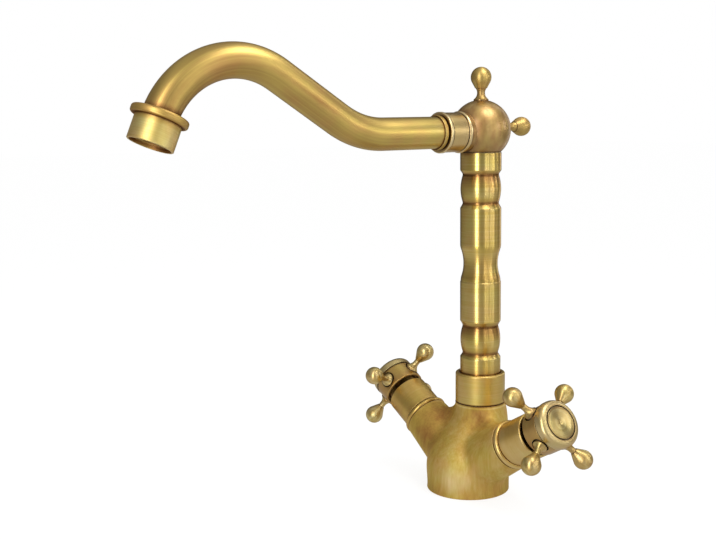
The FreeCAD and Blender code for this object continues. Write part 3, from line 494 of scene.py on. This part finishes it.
socket_place = (0, column_centre[1], SOCKET_HEIGHT)
toward_spout = (math.pi / 2, 0, 0)
elbow_finish, root = start_finish("brushed_elbow")
place = piece_coordinates(root, socket_place, toward_spout)
distance, angle, height = round_parts(root, place)
on_socket = root.math("GREATER_THAN", height, SOCKET_SEAM)
hand_lines = noise(root, place, (400, 100, 400), detail=1.0)
brush_lines = hand_lines + (turned_lines(root, place, spacing=0.0005) - hand_lines) * on_socket
clouds = noise(root, place, (60, 60, 60), detail=3.0)
shade = (weathered_and_shaded(root, brush_lines, clouds, lightness=0.38, line_depth=0.3, cloud_depth=0.25,
                   reach=0.005, brown=1.0) + on_socket * SOCKET_PAINTED_LIGHT
         + stripes(root, height, *RUBBED_AND_LIT_RINGS) - stripes(root, height, *SHADED_GROOVE_RINGS))
antique_brass(root, shade, brush_lines, roughness=0.43 - on_socket * 0.12, bump=0.03, coat=1.0,
              coat_roughness=0.3, warmth=on_socket * 0.3 - 0.1, pale=0.1 + on_socket * 0.18)
dress(elbow_finish, "elbow")

for name, height, turn, lightness, light_turn in (
        ("top_finial", 0, 0, 0.52, QUARTER_TURN),
        ("rear_finial", REAR_KNOB_HEIGHT, -math.pi / 2, 0.48, 0.0)):
    knob_finish, root = start_finish("turned_" + name)
    place = piece_coordinates(root, (0, column_centre[1], height), (turn, 0, 0))
    lathe_lines = turned_lines(root, place, spacing=0.002, detail=1.0)
    shade = weathered_and_shaded(root, lathe_lines, lightness=lightness, line_depth=0.25, reach=0.006, brown=1.2)
    antique_brass(root, shade, lathe_lines, roughness=0.45, bump=0.01, spread=0.55, turn=light_turn,
                  coat=0.5, coat_roughness=0.4, edges=False, warmth=-0.12, pale=0.12)
    dress(knob_finish, name)


# Spout
# A brass tube, bent twice and brushed lengthwise, that a lock ring holds in the elbow's socket.
# A flange is soldered on at its end, with the aerator's turned housing below it.

SPOUT_ROOT = 0.014
SPOUT_RUN = 0.0734
RISE_RADIUS = 0.0569
RISE_ANGLE = math.radians(31.9)
SLOPE = 0.0437
CROWN_RADIUS = 0.0467
DROP_ANGLE = math.radians(67)
OUTLET_STUB = 0.0055
TUBE_RADIUS = 0.0092
TUBE_WALL = 0.0015
TUBE_SIDES = 160
BEND_STEP = math.radians(1.5)
RING_STEP = 0.0015
GLOSSY_AND_LIT_ROOT = (0.02, 0.055, 0.16)
BROWN_END = ((0.252, 0.03, 0.16), (0.21, 0.07, 0.07))


def spout_line():
    """Corners of the tube's middle line: a straight run, a bend up, a slope, the crown and a stub."""
    points = [(SPOUT_ROOT, 0), (SPOUT_RUN, 0)]
    heading = 0.0
    bends = ((0, RISE_RADIUS, RISE_ANGLE), (SLOPE, -CROWN_RADIUS, -RISE_ANGLE - DROP_ANGLE))
    for straight, radius, turn in bends:
        out, rise = points[-1]
        out += straight * math.cos(heading)
        rise += straight * math.sin(heading)
        count = math.ceil(abs(turn) / BEND_STEP)
        for k in range(count + 1):
            now = heading + turn * k / count
            points.append((out + radius * (math.sin(now) - math.sin(heading)),
                           rise - radius * (math.cos(now) - math.cos(heading))))
        heading += turn
    out, rise = points[-1]
    points.append((out + OUTLET_STUB * math.cos(heading), rise + OUTLET_STUB * math.sin(heading)))
    return [Vector((0, column_centre[1] - out, SOCKET_HEIGHT + rise)) for out, rise in points]


corners = spout_line()
tube_points = corners[:1]
for corner in corners[1:]:
    start = tube_points[-1]
    steps = math.ceil((corner - start).length / RING_STEP)
    tube_points += [start.lerp(corner, k / steps) for k in range(1, steps + 1)]

spout_finish, root = start_finish("brushed_spout")
along = root.make("ShaderNodeAttribute", {"attribute_name": "along"}, out="Fac")
section = root.make("ShaderNodeAttribute", {"attribute_name": "section"}, out="Vector")
point = root.make("ShaderNodeCombineXYZ", {}, {2: along})
unbent = root.make("ShaderNodeVectorMath", {"operation": "ADD"}, {0: section, 1: point})
brush_lines = noise(root, unbent, (700, 700, 10), detail=1.0)
clouds = noise(root, unbent, (60, 60, 25))
# The straight run by the socket is glossier and also painted lighter, as a painted highlight.
glossy_and_lit_root = stripes(root, along, GLOSSY_AND_LIT_ROOT)
shade = weathered_and_shaded(root, brush_lines, clouds, lightness=0.5, line_depth=0.34, cloud_depth=0.4,
                  reach=0.004, brown=0.9) - stripes(root, along, *BROWN_END)
antique_brass(root, shade + glossy_and_lit_root, brush_lines, roughness=0.46 - shade * 0.1 - glossy_and_lit_root * 0.6,
              bump=0.01, coat=0.8, coat_roughness=0.42, edges=False, warmth=-0.12)

sweep = bpy.data.node_groups.new("spout_sweep", "GeometryNodeTree")
sweep.interface.new_socket("Line", in_out="INPUT", socket_type="NodeSocketGeometry")
radius_input = sweep.interface.new_socket("Tube Radius", in_out="INPUT", socket_type="NodeSocketFloat")
sides_input = sweep.interface.new_socket("Sides", in_out="INPUT", socket_type="NodeSocketInt")
sweep.interface.new_socket("Tube", in_out="OUTPUT", socket_type="NodeSocketGeometry")
root = Value(sweep)
given = root.make("NodeGroupInput").socket.node.outputs
line = root.make("GeometryNodeMeshToCurve", {}, {"Mesh": Value(sweep, given["Line"])})
length = root.make("GeometryNodeSplineParameter", out="Length")
line = root.make("GeometryNodeStoreNamedAttribute", {"data_type": "FLOAT"},
                 {"Geometry": line, "Name": "along", "Value": length})
circle = root.make("GeometryNodeCurvePrimitiveCircle", {},
                   {"Resolution": Value(sweep, given["Sides"]),
                    "Radius": Value(sweep, given["Tube Radius"])})
circle = root.make("GeometryNodeStoreNamedAttribute", {"data_type": "FLOAT_VECTOR"},
                   {"Geometry": circle, "Name": "section", "Value": root.make("GeometryNodeInputPosition")})
tube = root.make("GeometryNodeCurveToMesh", {}, {"Curve": line, "Profile Curve": circle})
tube = root.make("GeometryNodeSetShadeSmooth", {}, {"Geometry": tube})
tube = root.make("GeometryNodeRealizeInstances", {}, {"Geometry": tube})
tube = root.make("GeometryNodeSetMaterial", {}, {"Geometry": tube, "Material": spout_finish})
root.make("NodeGroupOutput", {}, {"Tube": tube}, None)

line_mesh = bpy.data.meshes.new("spout_line")
line_mesh.from_pydata(tube_points, [(k, k + 1) for k in range(len(tube_points) - 1)], [])
bent_tube = bpy.data.objects.new("bent_tube", line_mesh)
bpy.context.scene.collection.objects.link(bent_tube)
sweeping = bent_tube.modifiers.new("sweep", "NODES")
sweeping.node_group = sweep
sweeping[radius_input.identifier] = TUBE_RADIUS
sweeping[sides_input.identifier] = TUBE_SIDES
wall = bent_tube.modifiers.new("wall", "SOLIDIFY")
wall.thickness = TUBE_WALL
wall.offset = -1.0
ready = bent_tube.evaluated_get(bpy.context.evaluated_depsgraph_get())
tube_mesh = bpy.data.meshes.new_from_object(ready)
bent_tube.modifiers.clear()
bent_tube.data = tube_mesh
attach(bent_tube, "spout")
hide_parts("spout_tube")

outlet_place = tuple(corners[-2])
toward_outlet = (math.pi / 2 + DROP_ANGLE, 0, 0)
for name, lightness, centre, turn in (
        ("spout_lock_ring", 0.62, socket_place, toward_spout),
        ("outlet_flange", 0.52, outlet_place, toward_outlet),
        ("aerator_housing", 0.74, outlet_place, toward_outlet)):
    ring_finish, root = start_finish("turned_" + name)
    place = piece_coordinates(root, centre, turn)
    lathe_lines = turned_lines(root, place, spacing=0.0005)
    clouds = noise(root, place, (80, 80, 80), detail=3.0)
    shade = weathered_and_shaded(root, lathe_lines, clouds, lightness=lightness, line_depth=0.25, cloud_depth=0.6,
                      reach=0.01, brown=1.1)
    antique_brass(root, shade, lathe_lines, roughness=0.54 - shade * 0.1, bump=0.03, coat=0.7,
                  coat_roughness=0.4)
    dress(ring_finish, name)


# Studio
# A white floor and sky, with soft boxes round the faucet that draw the lines of light on its turned pieces.
# Grey cards stand round, over and under it. Only reflections see them, and they give the brass dark tones.

CAMERA_PLACE = (0.48893, -0.43586, 0.22757)
CAMERA_HEADING = math.radians(54.044)
CAMERA_PITCH = math.radians(8.071)
CAMERA_ROLL = math.radians(-0.73)
CAMERA_LENS = 55.42
SENSOR_WIDTH = 36.0

forward = Vector((-math.sin(CAMERA_HEADING) * math.cos(CAMERA_PITCH),
                  math.cos(CAMERA_HEADING) * math.cos(CAMERA_PITCH), -math.sin(CAMERA_PITCH)))
right = Vector((math.cos(CAMERA_HEADING), math.sin(CAMERA_HEADING), 0))
up = right.cross(forward)
rolled_right = right * math.cos(CAMERA_ROLL) + up * math.sin(CAMERA_ROLL)
rolled_up = up * math.cos(CAMERA_ROLL) - right * math.sin(CAMERA_ROLL)
camera = bpy.data.objects.new("camera", bpy.data.cameras.new("camera"))
camera.data.sensor_width = SENSOR_WIDTH
camera.data.lens = CAMERA_LENS
camera.matrix_world = (Matrix.Translation(CAMERA_PLACE)
                       @ Matrix((rolled_right, rolled_up, -forward)).transposed().to_4x4())
bpy.context.scene.collection.objects.link(camera)
bpy.context.scene.camera = camera

MIDDLE = Vector((0, -0.06, 0.13))


def studio_place(angle, distance, height):
    """Round the faucet from the camera's side: positive angles to the camera's right, in degrees."""
    bearing = math.radians(angle) + math.atan2(-forward.y, -forward.x)
    return MIDDLE + Vector((math.cos(bearing) * distance, math.sin(bearing) * distance, height))


def soft_box(name, place, target, width, height, brightness):
    """A rectangle of even light that faces its target."""
    light = bpy.data.objects.new(name, bpy.data.lights.new(name, "AREA"))
    light.data.shape = "RECTANGLE"
    light.data.size = width
    light.data.size_y = height
    light.data.energy = brightness * math.pi * width * height
    light.location = place
    light.rotation_euler = (place - target).to_track_quat("Z", "Y").to_euler()
    bpy.context.scene.collection.objects.link(light)


BOX_REACH = 0.5
STRIP_RISE = 0.225
STRIP_HEIGHT = 0.69
STRIPS = ((-24, 12, 8.0), (30, 3, 3.6), (43, 3, 2.8), (60, 3, 2.6), (75, 3, 2.2), (136, 8, 1.5))
SIDE_BOX_ANGLES = (71, 102)
for index, (angle, degrees, brightness) in enumerate(STRIPS):
    place = studio_place(angle, BOX_REACH, STRIP_RISE)
    soft_box("strip_%d" % index, place, Vector((MIDDLE.x, MIDDLE.y, place.z)),
             BOX_REACH * math.radians(degrees), STRIP_HEIGHT, brightness)
soft_box("top_box", studio_place(angle=69, distance=0.187, height=0.4), MIDDLE,
         width=0.18, height=0.18, brightness=6.5)
for index, angle in enumerate(SIDE_BOX_ANGLES):
    soft_box("side_box_%d" % index, studio_place(angle, BOX_REACH, height=0.17), MIDDLE,
             width=0.05, height=0.14, brightness=6.0)


def stage_piece(name, corners, shader_of):
    """A flat piece of the studio, with a material that isn't sampled as a lamp."""
    mesh = bpy.data.meshes.new(name)
    mesh.from_pydata(corners, [], [tuple(range(len(corners)))])
    piece = bpy.data.objects.new(name, mesh)
    bpy.context.scene.collection.objects.link(piece)
    material, root = start_finish(name)
    material.cycles.emission_sampling = "NONE"
    end_finish(root, shader_of(root))
    mesh.materials.append(material)
    return piece


def grey_card(name, corners, grey):
    """A grey card that only shows in reflections."""
    card = stage_piece(name, corners, lambda root: root.make(
        "ShaderNodeEmission", {}, {"Color": (grey, grey, grey, 1)}))
    card.visible_camera = False
    card.visible_diffuse = False
    card.visible_shadow = False


CARD_REACH = 0.56
CARD_TOP = 0.75
CARD_DEGREES = 15
FLOOR_GAP = 0.0005
CARDS = ((-180, -152, 0.12), (-152, -45, 0.26), (-45, -10, 0.42), (-10, 22, 0.24), (22, 78, 0.48),
         (78, 100, 0.32), (100, 124, 0.25), (124, 150, 0.4), (150, 180, 0.12))
for index, (first, last, grey) in enumerate(CARDS):
    count = math.ceil((last - first) / CARD_DEGREES)
    for k in range(count):
        ends = [studio_place(first + (last - first) * turn / count, CARD_REACH, 0) for turn in (k, k + 1)]
        grey_card("grey_card_%d_%d" % (index, k),
                  [(end.x, end.y, z) for end, z in zip(ends + ends[::-1], (0, 0, CARD_TOP, CARD_TOP))], grey)
for name, turns, level, grey in (
        ("left_top_card", (0, -45, -135, -180), CARD_TOP, 0.5),
        ("right_top_card", (180, 135, 45, 0), CARD_TOP, 0.75),
        ("floor_card", (45, 135, 225, 315), FLOOR_GAP, 0.58)):
    grey_card(name, [studio_place(turn, 2 * CARD_REACH, level - MIDDLE.z) for turn in turns], grey)

FLOOR_REACH = 6.0
FLOOR_WHITE = (0.98, 0.98, 0.98, 1)
FLOOR_GLOW = 0.8
WHITE = (1, 1, 1, 1)


def white_to_eye(root):
    """1 for rays from the camera, a mirror or glass, 0 for light that falls on things."""
    path = root.make("ShaderNodeLightPath").socket.node.outputs
    seen = Value(root.tree, path["Is Camera Ray"])
    for kind in ("Is Glossy Ray", "Is Transmission Ray"):
        seen = root.math("MAXIMUM", seen, Value(root.tree, path[kind]))
    return seen


def floor_shader(root):
    """Pale matt floor that shows white to the camera and keeps a faint shadow."""
    matt = root.make("ShaderNodeBsdfDiffuse", {}, {"Color": FLOOR_WHITE})
    glow = root.make("ShaderNodeEmission", {}, {"Color": WHITE})
    return root.make("ShaderNodeMixShader", {}, {0: white_to_eye(root) * FLOOR_GLOW, 1: matt, 2: glow})


floor_corners = ((-1, -1), (1, -1), (1, 1), (-1, 1))
stage_piece("floor", [(x * FLOOR_REACH, y * FLOOR_REACH, 0) for x, y in floor_corners], floor_shader)

world = bpy.data.worlds.new("studio")
world.use_nodes = True
world.node_tree.nodes.clear()
root = Value(world.node_tree)
sky = root.make("ShaderNodeBackground", {}, {"Color": WHITE, "Strength": 1.0})
root.make("ShaderNodeOutputWorld", {}, {"Surface": sky}, None)
world.cycles.sampling_method = "NONE"
bpy.context.scene.world = world
bpy.context.scene.view_settings.view_transform = "Standard"
